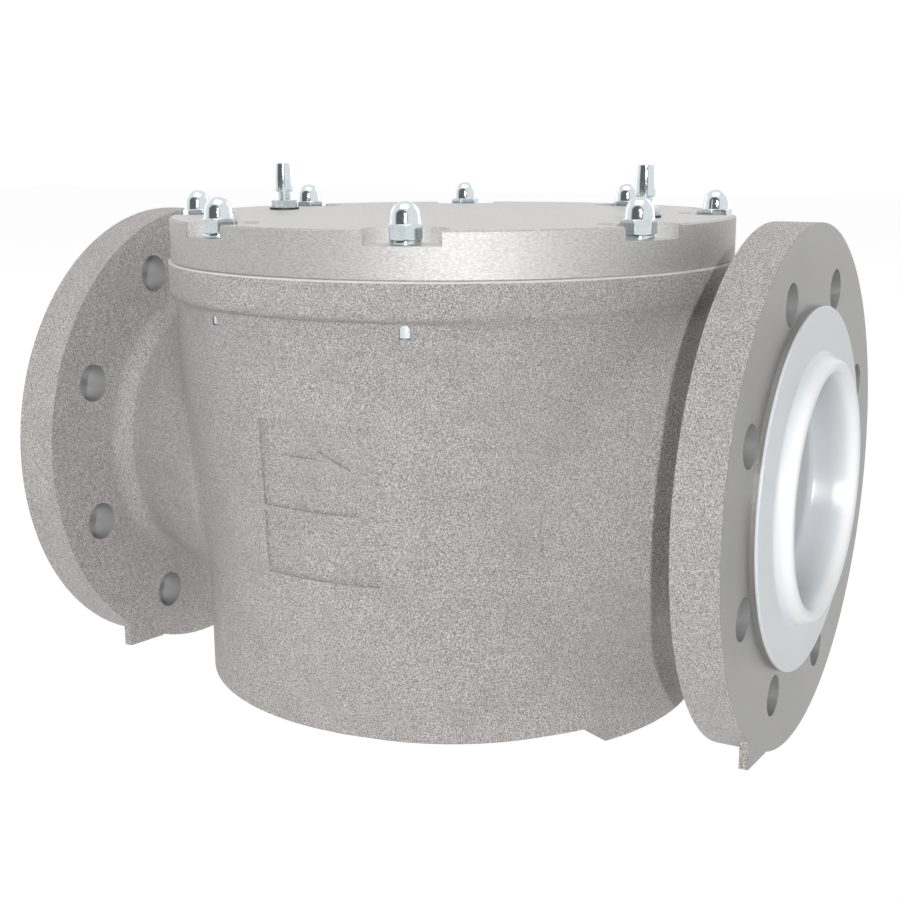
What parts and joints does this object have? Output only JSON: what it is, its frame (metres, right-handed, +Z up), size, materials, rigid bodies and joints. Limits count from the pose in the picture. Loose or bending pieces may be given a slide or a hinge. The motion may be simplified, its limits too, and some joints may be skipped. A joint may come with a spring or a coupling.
{
  "type": "gas filter",
  "caption": "Cast gas filter body with two pipe flanges, a round lid held by cap nuts, a filter cartridge inside, test nipples and push-in protective caps.",
  "frame": {"origin": "On the pipe axis, midway between the two flange faces.", "axes": "+X along the pipe from the inlet flange to the outlet flange, +Z up through the lid, and -Y towards the plate side that the picture shows."},
  "size_m": [0.3672, 0.2652, 0.251],
  "materials": {
    "cast_aluminium": "shot-blasted casting",
    "lid_aluminium": "shot-blasted, turned rim",
    "zinc_steel": "bright zinc plated",
    "sheet_steel": "galvanised sheet",
    "black_rubber": "matte",
    "filter_fibre": "non-woven fibre",
    "cap_plastic": "milky translucent polyethylene"
  },
  "bodies": {
    "body": {"body_casting": "cast_aluminium", "lid_studs": "zinc_steel"},
    "lid": {"lid": "lid_aluminium", "lid_oring": "black_rubber", "spring_washers": "zinc_steel", "nipple_seals": "black_rubber", "test_nipple_inlet": "zinc_steel", "test_nipple_outlet": "zinc_steel"},
    "nuts": {"cap_nuts": "zinc_steel"},
    "cartridge": {"cartridge_bottom_seal": "black_rubber", "cartridge_bottom_ring": "sheet_steel", "filter_sleeve": "filter_fibre", "cartridge_cage": "sheet_steel", "cartridge_top_ring": "sheet_steel", "cartridge_top_seal": "black_rubber", "guide_seals": "black_rubber"},
    "inlet_test_screw": {"test_screw_inlet": "zinc_steel"},
    "outlet_test_screw": {"test_screw_outlet": "zinc_steel"},
    "inlet_cap": {"inlet_cap": "cap_plastic"},
    "outlet_cap": {"outlet_cap": "cap_plastic"}
  },
  "joints": [
    {"name": "lid_lift", "type": "slide", "parent": "body", "child": "lid", "axis": [0, 0, 1], "range_m": [0, 0.24]},
    {"name": "cartridge_lift", "type": "slide", "parent": "body", "child": "cartridge", "axis": [0, 0, 1], "range_m": [0, 0.195]},
    {"name": "nuts_off", "type": "slide", "parent": "lid", "child": "nuts", "axis": [0, 0, 1], "range_m": [0, 0.03]},
    {"name": "inlet_screw_turn", "type": "hinge", "parent": "lid", "child": "inlet_test_screw", "pos_m": [-0.096, 0, 0.128], "axis": [0, 0, 1], "range_deg": [0, 720]},
    {"name": "outlet_screw_turn", "type": "hinge", "parent": "lid", "child": "outlet_test_screw", "pos_m": [0.096, 0, 0.128], "axis": [0, 0, 1], "range_deg": [0, 720]},
    {"name": "inlet_cap_pull", "type": "slide", "parent": "body", "child": "inlet_cap", "axis": [-1, 0, 0], "range_m": [0, 0.03]},
    {"name": "outlet_cap_pull", "type": "slide", "parent": "body", "child": "outlet_cap", "axis": [1, 0, 0], "range_m": [0, 0.03]}
  ],
  "couplings": [
    {"joint": "cartridge_lift", "follows": "lid_lift", "ratio": 0.8}
  ]
}
